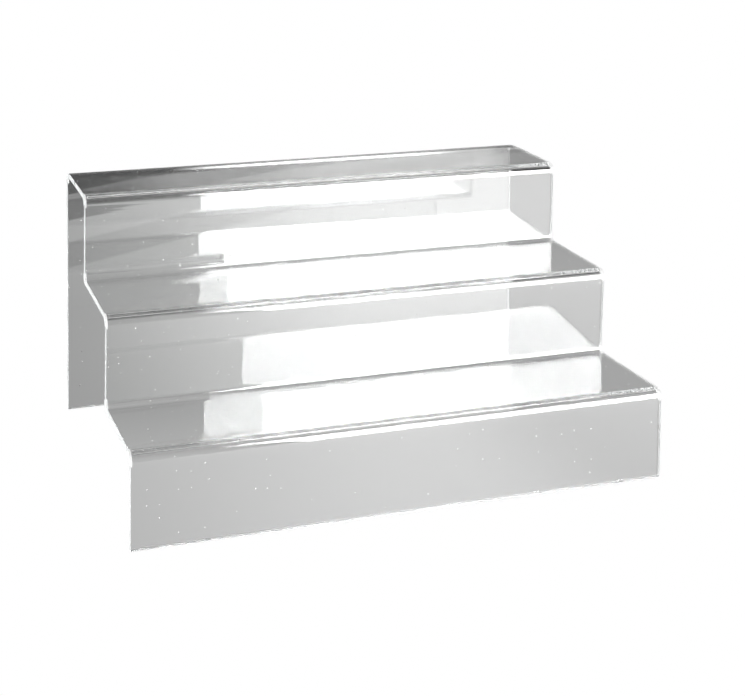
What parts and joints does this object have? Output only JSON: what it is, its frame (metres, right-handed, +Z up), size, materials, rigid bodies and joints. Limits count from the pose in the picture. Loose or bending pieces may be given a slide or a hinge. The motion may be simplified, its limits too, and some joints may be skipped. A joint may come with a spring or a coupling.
{
  "type": "tiered shelf riser",
  "caption": "Clear bent-sheet riser with shelves that step up from front to back, open at both ends and underneath.",
  "frame": {"origin": "on the floor, at the centre of the footprint", "axes": "+Z up, the open front faces -Y, and the shelves run along X"},
  "size_m": [0.3, 0.21, 0.15],
  "materials": {
    "clear_acrylic": "clear, gloss, with polished cut edges"
  },
  "bodies": {
    "root": {"bent_sheet": "clear_acrylic"}
  },
  "joints": []
}
